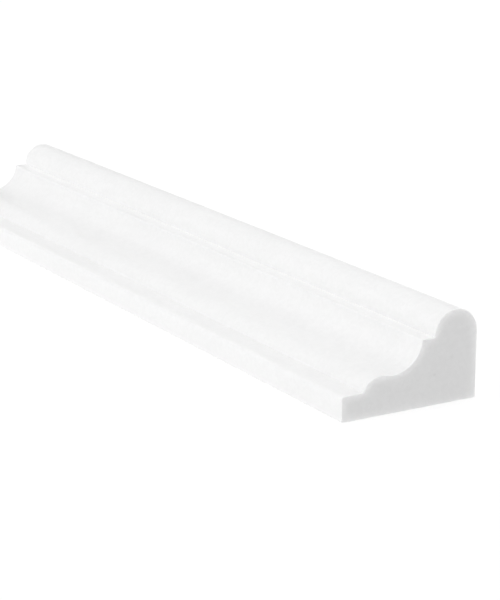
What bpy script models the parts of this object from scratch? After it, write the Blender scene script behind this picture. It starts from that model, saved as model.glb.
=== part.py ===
"""A short crown moulding length, worked from one piece of white marble.

The same section runs the whole length: a half-round nose along the thick edge, a flat step under it, a deep cove,
a bead that the cove runs into, a flat fillet and a thin lower edge. The back is flat and goes against the wall.

The moulding lies on its back, as it does before it is fixed. X runs along the length, Y across the back from the
thin edge to the thick one, and Z out of the wall. The origin is the middle of the back. Everything is in metres.
"""

import math

import bmesh
import bpy

NODE = "crown_moulding"

# Overall size. WIDTH is measured up the wall, and DEPTH is how far the nose stands out from the wall.
LENGTH = 0.305
WIDTH = 0.050
DEPTH = 0.030

# The half-round nose fills the corner between the thick edge and the front.
NOSE_RADIUS = 0.008
NOSE_ACROSS = WIDTH - NOSE_RADIUS
NOSE_OUT = DEPTH - NOSE_RADIUS

# The bead and the cove are arcs of one smooth line. The bead is placed, and the cove touches it.
BEAD_RADIUS = 0.007
BEAD_ACROSS = 0.0143
BEAD_OUT = 0.0058
COVE_RADIUS = 0.011
COVE_OUT = 0.0233

# The flat fillet below the bead ends in a small rounded corner at the thin edge.
FILLET_OUT = 0.0083
CORNER_RADIUS = 0.0010

# Sawn and rubbed marble keeps a narrow eased arris on every outer edge.
ARRIS = 0.0003
ARRIS_SEGMENTS = 2
SHARP_EDGE = math.radians(30)

# Degrees between the points of an arc.
ARC_STEP = 3.0

MARBLE_COLOUR = (0.93, 0.93, 0.925, 1.0)
MARBLE_ROUGHNESS = 0.35


def arc(across, out, radius, start, end):
    """Points on an arc about (across, out), from one angle to another, in degrees."""
    steps = max(1, round(abs(end - start) / ARC_STEP))
    angles = [math.radians(start + (end - start) * i / steps) for i in range(steps + 1)]
    return [(across + radius * math.cos(a), out + radius * math.sin(a)) for a in angles]


def cove_and_bead():
    """The smooth line from the step's outer edge, down the cove and over the bead, to the fillet."""
    reach = COVE_RADIUS + BEAD_RADIUS
    rise = COVE_OUT - BEAD_OUT
    cove_across = BEAD_ACROSS + math.sqrt(reach**2 - rise**2)
    join = math.degrees(math.atan2(rise, cove_across - BEAD_ACROSS))
    top = math.degrees(math.asin((NOSE_OUT - COVE_OUT) / COVE_RADIUS))
    foot = 180 - math.degrees(math.asin((FILLET_OUT - BEAD_OUT) / BEAD_RADIUS))
    cove = arc(cove_across, COVE_OUT, COVE_RADIUS, top, join - 180)
    bead = arc(BEAD_ACROSS, BEAD_OUT, BEAD_RADIUS, join, foot)
    return cove + bead[1:]


def section():
    """The outline of the end, anticlockwise as seen from +X, measured from the thin edge and the back."""
    back = [(0.0, 0.0), (WIDTH, 0.0)]
    nose = arc(NOSE_ACROSS, NOSE_OUT, NOSE_RADIUS, 0, 180)
    corner = arc(CORNER_RADIUS, FILLET_OUT - CORNER_RADIUS, CORNER_RADIUS, 90, 180)
    return back + nose + cove_and_bead() + corner


def ease_arrises(mesh):
    """Rounds off the outward edges that are sharper than SHARP_EDGE, and leaves the inward corners crisp."""
    arrises = [e for e in mesh.edges if e.is_convex and e.calc_face_angle() > SHARP_EDGE]
    bmesh.ops.bevel(
        mesh,
        geom=arrises,
        offset=ARRIS,
        segments=ARRIS_SEGMENTS,
        profile=0.5,
        affect="EDGES",
        clamp_overlap=True,
    )


def moulding_mesh():
    """The section drawn at one end and extruded to the other."""
    mesh = bmesh.new()
    outline = [mesh.verts.new((LENGTH / 2, y - WIDTH / 2, z)) for y, z in section()]
    right_end = mesh.faces.new(outline)
    run = bmesh.ops.extrude_face_region(mesh, geom=[right_end], use_keep_orig=True)
    moved = [g for g in run["geom"] if isinstance(g, bmesh.types.BMVert)]
    bmesh.ops.translate(mesh, verts=moved, vec=(-LENGTH, 0, 0))
    bmesh.ops.recalc_face_normals(mesh, faces=mesh.faces)
    ease_arrises(mesh)
    data = bpy.data.meshes.new(NODE)
    mesh.to_mesh(data)
    mesh.free()
    return data


def marble():
    """White marble with a honed face."""
    material = bpy.data.materials.new("white_marble")
    material.use_nodes = True
    shader = material.node_tree.nodes["Principled BSDF"]
    shader.inputs["Base Color"].default_value = MARBLE_COLOUR
    shader.inputs["Roughness"].default_value = MARBLE_ROUGHNESS
    shader.inputs["Metallic"].default_value = 0.0
    return material


def clear_scene():
    for obj in list(bpy.data.objects):
        bpy.data.objects.remove(obj)


def build():
    clear_scene()
    data = moulding_mesh()
    data.materials.append(marble())
    data.shade_smooth()
    data.set_sharp_from_angle(angle=SHARP_EDGE)
    moulding = bpy.data.objects.new(NODE, data)
    bpy.context.scene.collection.objects.link(moulding)


build()
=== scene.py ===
# %% [markdown]
# # A white marble crown moulding
# This lesson dresses one short length of crown moulding, worked from a single strip of white marble and
# lying on its back on a pale table. On a wall it stands the other way up, with its flat back in the
# adhesive and its round nose at the top. There is only one piece, so everything that makes it look
# right is in three things: a true section, arrises that are eased as rubbed stone is, and marble that
# lets a little light in under its surface.

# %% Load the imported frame
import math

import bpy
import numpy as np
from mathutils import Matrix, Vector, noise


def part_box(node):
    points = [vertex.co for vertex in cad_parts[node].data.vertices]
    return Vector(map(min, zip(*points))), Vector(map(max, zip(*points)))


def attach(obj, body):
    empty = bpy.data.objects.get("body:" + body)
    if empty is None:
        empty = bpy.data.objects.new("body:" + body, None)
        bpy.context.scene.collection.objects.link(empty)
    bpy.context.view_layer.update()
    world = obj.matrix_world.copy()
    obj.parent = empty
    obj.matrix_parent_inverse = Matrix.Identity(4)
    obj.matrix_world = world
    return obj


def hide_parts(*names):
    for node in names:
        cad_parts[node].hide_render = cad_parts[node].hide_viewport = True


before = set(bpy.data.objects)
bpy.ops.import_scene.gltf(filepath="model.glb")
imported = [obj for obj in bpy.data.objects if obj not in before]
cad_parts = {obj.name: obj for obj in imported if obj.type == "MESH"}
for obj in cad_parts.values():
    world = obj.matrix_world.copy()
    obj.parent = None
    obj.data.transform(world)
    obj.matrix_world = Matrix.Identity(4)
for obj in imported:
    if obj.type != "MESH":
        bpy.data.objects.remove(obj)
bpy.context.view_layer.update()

# %% [markdown]
# ## Measures
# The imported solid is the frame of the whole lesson. Its box gives the length along X, the width across
# the back along Y and the depth out of the wall along Z, so no overall size is typed in again here. The
# stone is worked in millimetres, and Blender counts in metres.

MM = 0.001
low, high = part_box("crown_moulding")
length, width, depth = high - low
print(f"the solid is {length / MM:.0f} long, {width / MM:.0f} wide and {depth / MM:.0f} mm deep")

# %% [markdown]
# ## Camera
# The picture was taken from in front of the right-hand end, a little above the table, with a long lens.
# Five values say that: the angle round the moulding, the angle above the table, the distance, the spot
# on the table that the lens points at, and its focal length. Turning the first four into a place and a
# rotation keeps them easy to change, which two rows of coordinates would not be.

# %% Place the camera
CAMERA_AROUND = 59.6
CAMERA_ABOVE = 15.55
CAMERA_AWAY = 740 * MM
CAMERA_SPOT = Vector((18.4 * MM, 21.7 * MM, 0))
CAMERA_LENS = 120.3


def towards(around, above):
    """The direction of a place in the studio. Around is 0 in front and 90 at the right."""
    a = math.radians(around)
    e = math.radians(above)
    return Vector((math.sin(a) * math.cos(e), -math.cos(a) * math.cos(e), math.sin(e)))


def look_at(thing, spot):
    """Turns a camera or a light to face a spot."""
    thing.rotation_euler = (spot - thing.location).to_track_quat("-Z", "Y").to_euler()


camera = bpy.data.objects.new("camera", bpy.data.cameras.new("camera"))
bpy.context.scene.collection.objects.link(camera)
bpy.context.scene.camera = camera
camera.data.lens = CAMERA_LENS
camera.location = CAMERA_SPOT + CAMERA_AWAY * towards(CAMERA_AROUND, CAMERA_ABOVE)
look_at(camera, CAMERA_SPOT)
print("camera at", [round(c, 4) for c in camera.location])

# %% [markdown]
# ## Section
# A moulding is its section. This one has five members. From the thick edge down they are a half-round
# nose, a flat step, a cove, a bead that the cove runs straight into, and a flat fillet that ends at the
# thin edge. Straight lines and true arcs are how such a section is drawn at the bench, and how the
# wheels that grind it are dressed, so it is drawn that way here and not traced. The cove is placed by
# touching the bead: where two arcs touch, their centres are as far apart as their radii together.

# %% Draw the section
NOSE_RADIUS = 8.0 * MM
COVE_RADIUS = 11.0 * MM
BEAD_RADIUS = 7.0 * MM
CORNER_RADIUS = 1.0 * MM
COVE_OUT = 23.3 * MM
BEAD_OUT = 5.8 * MM
BEAD_ACROSS = 14.3 * MM
FILLET_OUT = 8.3 * MM
ARC_STEP = 0.5


def arc(across, out, radius, start, end):
    """Points on an arc about (across, out), from one angle to another, in degrees."""
    steps = round(abs(end - start) / ARC_STEP)
    angles = np.radians(np.linspace(start, end, steps + 1))
    return np.column_stack([across + radius * np.cos(angles), out + radius * np.sin(angles)])


def drawn_section():
    """The sharp outline, seen from the right-hand end, measured from the thin edge and the back."""
    nose_across = width - NOSE_RADIUS
    nose_out = depth - NOSE_RADIUS
    reach = COVE_RADIUS + BEAD_RADIUS
    rise = COVE_OUT - BEAD_OUT
    run = math.sqrt(reach**2 - rise**2)
    join = math.degrees(math.atan2(rise, run))
    top = math.degrees(math.asin((nose_out - COVE_OUT) / COVE_RADIUS))
    foot = 180 - math.degrees(math.asin((FILLET_OUT - BEAD_OUT) / BEAD_RADIUS))
    return np.vstack(
        [
            [(0.0, 0.0), (width, 0.0)],
            arc(nose_across, nose_out, NOSE_RADIUS, 0, 180),
            arc(BEAD_ACROSS + run, COVE_OUT, COVE_RADIUS, top, join - 180),
            arc(BEAD_ACROSS, BEAD_OUT, BEAD_RADIUS, join, foot),
            arc(CORNER_RADIUS, FILLET_OUT - CORNER_RADIUS, CORNER_RADIUS, 90, 180),
        ]
    )


drawn = drawn_section()
print(f"the drawn section has {len(drawn)} points")

# %% [markdown]
# ## Rubbing
# Marble never keeps a knife edge. After grinding, the run is rubbed with finer and finer abrasive,
# which takes the sharpness off every outer corner. A Bevel modifier would need to be told each corner.
# Averaging the outline with its own neighbours is closer to what a rubbing pad does: it rounds the
# corners and leaves the flats and the large arcs alone. But a pad only takes stone away, and it can't
# reach into an inner corner. So the outline is averaged twice: over the reach of the pad, and over the
# much smaller one of the grinding wheel's edge. Where the pad would leave more stone than the wheel
# did, the wheel's outline stays, and every inner corner stays crisp.

# %% Rub the section
PAD_REACH = 0.38 * MM
WHEEL_REACH = 0.10 * MM
RUB_STEP = 0.025 * MM
# A neighbour more than this many reaches away doesn't count.
LAST_REACH = 4


def round_the_outline(outline):
    """The outline closed, and the distance walked round it to each point."""
    closed = np.vstack([outline, outline[:1]])
    return closed, np.concatenate([[0], np.cumsum(np.linalg.norm(np.diff(closed, axis=0), axis=1))])


def at_places(outline, places):
    """Points on a closed outline at given distances round it."""
    closed, walked = round_the_outline(outline)
    return np.column_stack([np.interp(places, walked, closed[:, k]) for k in range(2)])


def outward(outline):
    """The direction out of the stone at each point of a closed outline."""
    along_it = np.roll(outline, -1, axis=0) - np.roll(outline, 1, axis=0)
    along_it /= np.linalg.norm(along_it, axis=1)[:, None]
    return np.column_stack([along_it[:, 1], -along_it[:, 0]])


def averaged(outline, reach):
    """Evenly spaced points, each moved to the mean of its neighbours, where the nearest count most."""
    farthest = round(LAST_REACH * reach / RUB_STEP)
    taps = np.arange(-farthest, farthest + 1)
    weights = np.exp(-0.5 * (taps * RUB_STEP / reach) ** 2)
    weights /= weights.sum()
    return sum(w * np.roll(outline, t, axis=0) for w, t in zip(weights, taps))


def rubbed(outline):
    """The outline as the pad leaves it, or as the wheel left it where the pad can't reach."""
    whole = round_the_outline(outline)[1][-1]
    count = round(whole / RUB_STEP)
    even = at_places(outline, np.arange(count) * whole / count)
    pad = averaged(even, PAD_REACH)
    wheel = averaged(even, WHEEL_REACH)
    added = np.sum((pad - wheel) * outward(wheel), axis=1)
    return np.where(added[:, None] < 0, pad, wheel)


smooth = rubbed(drawn)
print(f"rubbing took {(depth - smooth[:, 1].max()) / MM:.4f} mm off the top of the nose")

# %% [markdown]
# A mesh needs its points where the outline turns. Even spacing would spend them on the flat back, so
# each step round the outline is counted in turning as well as in distance, and the points are set at
# even counts.

# %% Space the points by how much the outline turns
TURN_STEP = 5.0
FLAT_STEP = 1.5 * MM


def edge_turns(outline):
    """How far each point of a closed outline turns, in degrees. Outer corners are positive."""
    edges = np.roll(outline, -1, axis=0) - outline
    heading = np.degrees(np.arctan2(edges[:, 1], edges[:, 0]))
    return (heading - np.roll(heading, 1) + 180) % 360 - 180


def spaced(outline):
    """Fewer points on the same outline, set closer where it turns."""
    walked = round_the_outline(outline)[1]
    cost = np.abs(edge_turns(outline)) / TURN_STEP + np.diff(walked) / FLAT_STEP
    counted = np.concatenate([[0], np.cumsum(cost)])
    count = math.ceil(counted[-1])
    return at_places(outline, np.interp(np.arange(count) * counted[-1] / count, counted, walked))


section = spaced(smooth)
print(f"the rubbed section has {len(section)} points")

# %% [markdown]
# ## The run and its sawn ends
# The strip is ground first and sawn to length after, so the ends are dead square and their arrises are
# touched only once with a stone. The run is a loft: rings of the same section, one behind another.
# Towards each end the last rings draw in along a quarter circle, which makes the eased arris, and flat
# faces close the end.

# %% Space the rings along the run
ARRIS = 0.18 * MM
ARRIS_RINGS = 6
RING_STEP = 1.6 * MM


def rings():
    """How far along X each ring stands, and how far it draws in from the section."""
    turns = np.radians(np.linspace(90, 0, ARRIS_RINGS, endpoint=False))
    eased = length / 2 - ARRIS + ARRIS * np.sin(turns)
    drawn_in = ARRIS - ARRIS * np.cos(turns)
    straight = length / 2 - ARRIS
    middle = np.linspace(straight, -straight, round(2 * straight / RING_STEP) + 1)
    along = np.concatenate([eased, middle, -eased[::-1]])
    insets = np.concatenate([drawn_in, np.zeros(len(middle)), drawn_in[::-1]])
    return along, insets


along, insets = rings()
print(f"{len(along)} rings of {len(section)} points")

# %% [markdown]
# ## The hand in it
# A run straight from a formula looks like plastic. Rubbed stone is never quite true: its flats and arcs
# wander by a few hundredths of a millimetre over a couple of centimetres, and its outer arrises are
# rubbed a little more in one place than in the next. Both are worked into the mesh here and not painted
# on, with smooth noise that always gives the same answer, and always inwards, so that the stone stays
# inside its drawn size. An arris counts as fully sharp where the outline turns by 90 degrees in a
# millimetre. The arris of a sawn end is uneven too, because the stone that eased it was leaned on more
# lightly in some places than in others.

# %% Make the run a little untrue
WANDER = 0.05 * MM
WANDER_LENGTH = 22 * MM
WEAR = 0.06 * MM
WEAR_LENGTH = 7 * MM
SHARP = 90
LIGHTEST_TOUCH = 0.7
TOUCH_LENGTH = 3.5 * MM


def smooth_noise(points, size):
    """Noise between 0 and 1 at each point, with lumps of about the given size."""
    return np.array([0.5 + 0.5 * noise.noise(Vector(p) / size) for p in points])


def moulded_points():
    """Every point of the run, ring by ring."""
    out = outward(section)
    steps = np.linalg.norm(np.roll(section, -1, axis=0) - section, axis=1)
    sharpness = np.clip(edge_turns(section) / (steps / MM) / SHARP, 0, 1)
    count = len(section)
    place = np.column_stack([np.repeat(along, count), np.tile(section, (len(along), 1))])
    worn = np.tile(sharpness, len(along)) * WEAR * smooth_noise(place, WEAR_LENGTH)
    wander = WANDER * smooth_noise(place, WANDER_LENGTH)
    touch = LIGHTEST_TOUCH + (1 - LIGHTEST_TOUCH) * smooth_noise(place, TOUCH_LENGTH)
    inwards = worn + wander + np.repeat(insets, count) * touch
    place[:, 1:] -= inwards[:, None] * np.tile(out, (len(along), 1))
    return place + np.array([0, low.y, low.z])


points = moulded_points()
print("the run spans", np.round(np.ptp(points, axis=0) / MM, 3), "mm")

# %% [markdown]
# Neighbouring rings are joined by four-sided faces. One many-sided face could close each end, but
# Blender would cut such a hollow outline into triangles of its own choice, and a slip there leaves a
# hole. A point low under the nose can see every part of the outline, so each end is a fan of triangles
# round that point. The faces along the run shade smooth, so that the arcs look like arcs. Those of the
# ends shade flat.

# %% Build the moulding
FAN_ACROSS = 36 * MM
FAN_OUT = 6 * MM


def moulded_faces():
    """Four-sided faces between the rings, all facing out of the stone."""
    count = len(section)
    faces = []
    for ring in range(len(along) - 1):
        near = ring * count
        far = near + count
        for i in range(count):
            j = (i + 1) % count
            faces.append((near + i, far + i, far + j, near + j))
    return faces


def end_faces():
    """A fan of triangles on each sawn end. The middles of the two fans are the last two points."""
    count = len(section)
    last = (len(along) - 1) * count
    fans = []
    for i in range(count):
        j = (i + 1) % count
        fans.append((i, j, len(points)))
        fans.append((last + j, last + i, len(points) + 1))
    return fans


def build_moulding():
    """The dressed run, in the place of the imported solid."""
    middles = [(side * length / 2, low.y + FAN_ACROSS, low.z + FAN_OUT) for side in (1, -1)]
    sides = moulded_faces()
    mesh = bpy.data.meshes.new("marble_length")
    mesh.from_pydata(points.tolist() + middles, [], sides + end_faces())
    mesh.shade_smooth()
    for end in mesh.polygons[len(sides) :]:
        end.use_smooth = False
    mesh.validate()
    piece = bpy.data.objects.new("marble_length", mesh)
    bpy.context.scene.collection.objects.link(piece)
    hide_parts("crown_moulding")
    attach(piece, "root")
    return piece


moulding = build_moulding()
print(f"the moulding has {len(moulding.data.polygons)} faces")

# %% [markdown]
# ## Wires
# A finish is a sum of a few patterns, and sums read best as sums. The class below wraps one socket of a
# shader node. Adding, taking away, multiplying or comparing two of them, or one and a number, adds the
# Math node that does it. Any other node comes from one method, which takes its kind, its settings, and
# what goes into its sockets.

# %% Wrap a shader socket so that it can stand in a sum


class Wire:
    """One output of a shader node."""

    def __init__(self, tree, socket=None):
        self.tree = tree
        self.socket = socket

    def node(self, kind, settings, sockets, output=0):
        """Adds a node, sets it, fills its sockets with values or wires, and returns an output."""
        added = self.tree.nodes.new("ShaderNode" + kind)
        for name, value in settings.items():
            setattr(added, name, value)
        for name, value in sockets.items():
            if isinstance(value, Wire):
                self.tree.links.new(value.socket, added.inputs[name])
            else:
                added.inputs[name].default_value = value
        return Wire(self.tree, added.outputs[output])

    def maths(self, operation, *values):
        """Adds a Math node."""
        return self.node("Math", {"operation": operation}, dict(enumerate(values)))

    def __add__(self, other):
        return self.maths("ADD", self, other)

    def __sub__(self, other):
        return self.maths("SUBTRACT", self, other)

    def __rsub__(self, other):
        return self.maths("SUBTRACT", other, self)

    def __mul__(self, other):
        return self.maths("MULTIPLY", self, other)

    def __gt__(self, other):
        return self.maths("GREATER_THAN", self, other)

    def __abs__(self):
        return self.maths("ABSOLUTE", self)

    __radd__ = __add__
    __rmul__ = __mul__


# %% [markdown]
# ## Marble
# Fine white marble is a mass of clear crystals about a millimetre across. It has no drawn pattern. What
# the eye finds in it is faint: crystals a shade lighter or darker than the next, and a slow milky cloud
# through the block. Both are solid patterns, read at the place of each point in the stone, so they run
# through from the face to the sawn end as the real ones do. A picture wrapped round the piece would
# break at that edge.

# %% Colour the marble
MARBLE_WHITE = (0.90, 0.90, 0.90)
CRYSTAL = 1.1 * MM
CLOUD = 35 * MM
CLOUD_DEPTH = 0.03
CRYSTAL_DEPTH = 0.03
CLOUD_DETAIL = 4.0


def clouds(wire, place):
    """A slow milky cloud, from 0 to 1."""
    sockets = {"Vector": place, "Scale": 1 / CLOUD, "Detail": CLOUD_DETAIL}
    return wire.node("TexNoise", {}, sockets, "Fac")


def crystals(wire, place):
    """One number between 0 and 1 for each crystal."""
    colours = wire.node("TexVoronoi", {}, {"Vector": place, "Scale": 1 / CRYSTAL}, "Color")
    return wire.node("SeparateColor", {}, {"Color": colours}, "Red")


print(f"crystals of {CRYSTAL / MM:.1f} mm in clouds of {CLOUD / MM:.0f} mm")

# %% [markdown]
# Two small grey specks show in the sawn end, where a flake of mica sits just under the surface. Each is
# a soft ball of slightly darker stone with its centre on the end, so only its middle is seen.

# %% Place the specks
# The middle of each, its reach, and how much darker than the stone it is.
SPECKS = {
    "low speck": (Vector((length / 2, 9.2 * MM, 10.0 * MM)), 0.9 * MM, 0.055),
    "high speck": (Vector((length / 2, 15.6 * MM, 14.7 * MM)), 1.3 * MM, 0.045),
}


def speck(wire, place, centre, reach):
    """1 at the middle of a speck, falling smoothly to 0 at its reach."""
    away = wire.node("VectorMath", {"operation": "DISTANCE"}, {0: place, 1: centre}, "Value")
    sockets = {"Value": away, "From Min": reach, "From Max": 0.0}
    return wire.node("MapRange", {"interpolation_type": "SMOOTHSTEP"}, sockets)


def marble_colour(wire, place):
    """White, with a slow cloud, a shade of its own for each crystal, and the specks."""
    shade = 1 + CLOUD_DEPTH * (clouds(wire, place) - 0.5)
    shade = shade + CRYSTAL_DEPTH * (crystals(wire, place) - 0.5)
    for centre, reach, depth_of_grey in SPECKS.values():
        shade = shade - depth_of_grey * speck(wire, place, centre, reach)
    return wire.node("VectorMath", {"operation": "SCALE"}, {"Vector": MARBLE_WHITE, "Scale": shade})


print(len(SPECKS), "specks in the sawn end")

# %% [markdown]
# ## Honed faces and sawn faces
# The members were rubbed to a hone: smooth, with a low sheen and no mirror. The two ends and the back
# were left as the diamond saw cut them, a little rougher, with faint arcs from the rim of the blade.
# Two masks tell them apart. The ends are all that lies at the full length, and the back is all that
# lies at no depth, so the masks need nothing but the place of each point.

# %% Tell the sawn faces from the honed ones
SKIN = 0.05 * MM


def along_axis(wire, place, axis):
    """The X, Y or Z of a place."""
    return wire.node("SeparateXYZ", {}, {"Vector": place}, axis)


def sawn_ends(wire, place):
    """1 on the two ends, and 0 elsewhere."""
    return abs(along_axis(wire, place, "X")) > length / 2 - SKIN


def sawn_back(wire, place):
    """1 on the back, and 0 elsewhere."""
    return 1 - (along_axis(wire, place, "Z") > WANDER + SKIN)


print(f"a sawn face is looked for in a skin of {SKIN / MM:.2f} mm")

# %% [markdown]
# The sheen is the roughness, and it varies a little from crystal to crystal, because each one takes the
# hone in its own way. The rest is height, in real metres: long streaks that the rubbing left along the
# run, a trace of each crystal, and the arcs of the saw. The arcs are noise read by the distance from
# the middle of the blade.

# %% Shape the fine surface
HONED = 0.38
SAWN = 0.58
CRYSTAL_SHEEN = 0.08
STREAK_LONG = 30 * MM
STREAK_WIDE = 0.9 * MM
STREAK_HEIGHT = 0.004 * MM
STREAK_DETAIL = 2.0
CRYSTAL_HEIGHT = 0.002 * MM
SAW_STEP = 0.8 * MM
SAW_HEIGHT = 0.006 * MM
BLADE_AT_ENDS = Vector((0, 60 * MM, 110 * MM))
BLADE_AT_BACK = Vector((60 * MM, 140 * MM, 0))
FLAT_ON_ENDS = Vector((0, 1, 1))
FLAT_ON_BACK = Vector((1, 1, 0))


def sheen(wire, place):
    """Roughness: honed on the members, and rougher on the sawn faces."""
    sawn = 1 - (1 - sawn_ends(wire, place)) * (1 - sawn_back(wire, place))
    return HONED + (SAWN - HONED) * sawn + CRYSTAL_SHEEN * (crystals(wire, place) - 0.5)


def streaks(wire, place):
    """Fine noise, drawn out along the run."""
    stretch = Vector((1 / STREAK_LONG, 1 / STREAK_WIDE, 1 / STREAK_WIDE))
    drawn_out = wire.node("VectorMath", {"operation": "MULTIPLY"}, {0: place, 1: stretch})
    sockets = {"Vector": drawn_out, "Scale": 1.0, "Detail": STREAK_DETAIL}
    return wire.node("TexNoise", {}, sockets, "Fac")


def saw_arcs(wire, place, blade, flatten):
    """Noise in rings about the middle of the saw blade, flattened onto the face that it cut."""
    flat = wire.node("VectorMath", {"operation": "MULTIPLY"}, {0: place, 1: flatten})
    ring = wire.node("VectorMath", {"operation": "DISTANCE"}, {0: flat, 1: blade}, "Value")
    sockets = {"W": ring, "Scale": 1 / SAW_STEP}
    return wire.node("TexNoise", {"noise_dimensions": "1D"}, sockets, "Fac")


def relief(wire, place):
    """The height of the fine surface, in metres."""
    ends = sawn_ends(wire, place)
    back = sawn_back(wire, place)
    honed = (1 - ends) * (1 - back)
    height = CRYSTAL_HEIGHT * crystals(wire, place) + STREAK_HEIGHT * streaks(wire, place) * honed
    height = height + SAW_HEIGHT * ends * saw_arcs(wire, place, BLADE_AT_ENDS, FLAT_ON_ENDS)
    return height + SAW_HEIGHT * back * saw_arcs(wire, place, BLADE_AT_BACK, FLAT_ON_BACK)


print(f"roughness {HONED} where the stone is honed and {SAWN} where it is sawn")

# %% [markdown]
# ## Light inside the stone
# Light goes a few millimetres into marble and comes out beside where it went in, so an end in shade is
# lighter along the edges that it shares with a lit face. Subsurface scattering does that from any side.
# A pale line painted along the edge would stay when the light moved. Blender can follow each ray
# through the stone, or share the light out by distance alone. In a thick and very white block the first
# loses light at every inner corner, and draws a dark line there. The second gains some at every sharp
# outer corner, and draws a light one. So the second is used mostly on the ends, where its glow is
# wanted, and only a little along the run. It reaches equally far in red, green and blue, because the
# stone is neutral.

# %% Mix the marble
LIGHT_REACH = 3.0 * MM
LIGHT_IN_RUN = 0.1
LIGHT_IN_ENDS = 0.7
ALL_COLOURS_ALIKE = (1.0, 1.0, 1.0)


def marble():
    """One finish, with more light in the stone at the ends than along the run."""
    material = bpy.data.materials.new("white_marble")
    material.use_nodes = True
    tree = material.node_tree
    tree.nodes.remove(tree.nodes["Principled BSDF"])
    wire = Wire(tree)
    place = wire.node("TexCoord", {}, {}, "Object")
    bump = {"Strength": 1.0, "Distance": 1.0, "Height": relief(wire, place)}
    finish = {
        "Base Color": marble_colour(wire, place),
        "Roughness": sheen(wire, place),
        "Normal": wire.node("Bump", {}, bump),
        "Subsurface Radius": ALL_COLOURS_ALIKE,
        "Subsurface Scale": LIGHT_REACH,
    }
    by_distance = {"subsurface_method": "BURLEY"}
    run = wire.node("BsdfPrincipled", by_distance, finish | {"Subsurface Weight": LIGHT_IN_RUN})
    ends = wire.node("BsdfPrincipled", by_distance, finish | {"Subsurface Weight": LIGHT_IN_ENDS})
    stone = wire.node("MixShader", {}, {0: sawn_ends(wire, place), 1: run, 2: ends})
    tree.links.new(stone.socket, tree.nodes["Material Output"].inputs["Surface"])
    print(f"the marble has {len(tree.nodes)} nodes")
    return material


moulding.data.materials.append(marble())

# %% [markdown]
# ## Table
# The stone lies on a plain white table that runs past the picture on every side. White on white only
# reads if the table is the brighter of the two, so this is a light table: a sheet of milky acrylic with
# most of its brightness coming from below. Only the rest of it can be shaded, which keeps the shadow at
# the foot of the stone slight, and its light reaches up under the members and the sawn end.

# %% Lay the table
TABLE_SIZE = 6.0
TABLE_WHITE = (0.15, 0.15, 0.15, 1.0)
TABLE_ROUGHNESS = 0.9
TABLE_GLOW = 0.84
WHITE_LIGHT = (1.0, 1.0, 1.0, 1.0)


def table_finish():
    """Milky acrylic, lit from below."""
    material = bpy.data.materials.new("pale_table")
    material.use_nodes = True
    shader = material.node_tree.nodes["Principled BSDF"]
    shader.inputs["Base Color"].default_value = TABLE_WHITE
    shader.inputs["Roughness"].default_value = TABLE_ROUGHNESS
    shader.inputs["Emission Color"].default_value = WHITE_LIGHT
    shader.inputs["Emission Strength"].default_value = TABLE_GLOW
    return material


def pale_table():
    """One wide sheet, level with the back of the stone."""
    half = TABLE_SIZE / 2
    corners = [(-half, -half, 0), (half, -half, 0), (half, half, 0), (-half, half, 0)]
    mesh = bpy.data.meshes.new("table")
    mesh.from_pydata(corners, [], [(0, 1, 2, 3)])
    mesh.materials.append(table_finish())
    table = bpy.data.objects.new("table", mesh)
    table.location.z = low.z
    bpy.context.scene.collection.objects.link(table)
    return table


table = pale_table()
print("the table lies at", round(table.location.z / MM, 3), "mm")

# %% [markdown]
# ## Light
# In the picture every member of the section is nearly as bright as the next, and only the sawn end is
# plainly darker. One lamp would throw the cove into shade. So the room itself is pale, and four wide
# soft boxes stand in front, behind, low behind on the left, and overhead. None stands on the right,
# where the sawn end faces. The front box lights the thin edge and the side of the nose, the overhead
# one the flats, and the two behind keep the top of the nose from turning grey where it is seen at a low
# angle. All of them stand three metres away, ten times the length of the stone, so that its far end is
# lit much as the near one is. Each turns to face the stone, so a place is only two angles and a power.
# The boxes are kept out of view, and the camera sees plain white walls behind the table.

# %% Light the studio
BOX_AWAY = 3.0
BOX_SIZE = 1.5
ROOM_GLOW = 0.35
ROOM_SEEN = 1.0
# How far round and how far up each one stands, in degrees, and its power in watts.
SOFT_BOXES = {
    "front": (-15, 30, 37.0),
    "back": (180, 35, 22.0),
    "low_back": (-150, 15, 12.0),
    "overhead": (0, 90, 36.5),
}


def soft_box(name, around, above, power):
    """A square soft box that faces the moulding and that the camera can't see."""
    data = bpy.data.lights.new(name, "AREA")
    data.energy = power
    data.size = BOX_SIZE
    box = bpy.data.objects.new(name, data)
    box.location = BOX_AWAY * towards(around, above)
    box.visible_camera = False
    look_at(box, Vector((0, 0, 0)))
    bpy.context.scene.collection.objects.link(box)


def pale_room():
    """A dim even light from all round, with walls that the camera sees as white as the table."""
    world = bpy.data.worlds.new("pale_room")
    world.use_nodes = True
    background = world.node_tree.nodes["Background"]
    background.inputs["Color"].default_value = WHITE_LIGHT
    seen = Wire(world.node_tree).node("LightPath", {}, {}, "Is Camera Ray")
    strength = ROOM_GLOW + (ROOM_SEEN - ROOM_GLOW) * seen
    world.node_tree.links.new(strength.socket, background.inputs["Strength"])
    bpy.context.scene.world = world


for name, (around, above, power) in SOFT_BOXES.items():
    soft_box(name, around, above, power)
pale_room()
bpy.context.scene.view_settings.view_transform = "Standard"
print(len(SOFT_BOXES), "soft boxes")

# %% [markdown]
# ## Last update
# The dressed moulding has to fill the box of the solid, and stay inside it. The last cell only brings
# the scene up to date.

# %% Update the scene
bpy.context.view_layer.update()
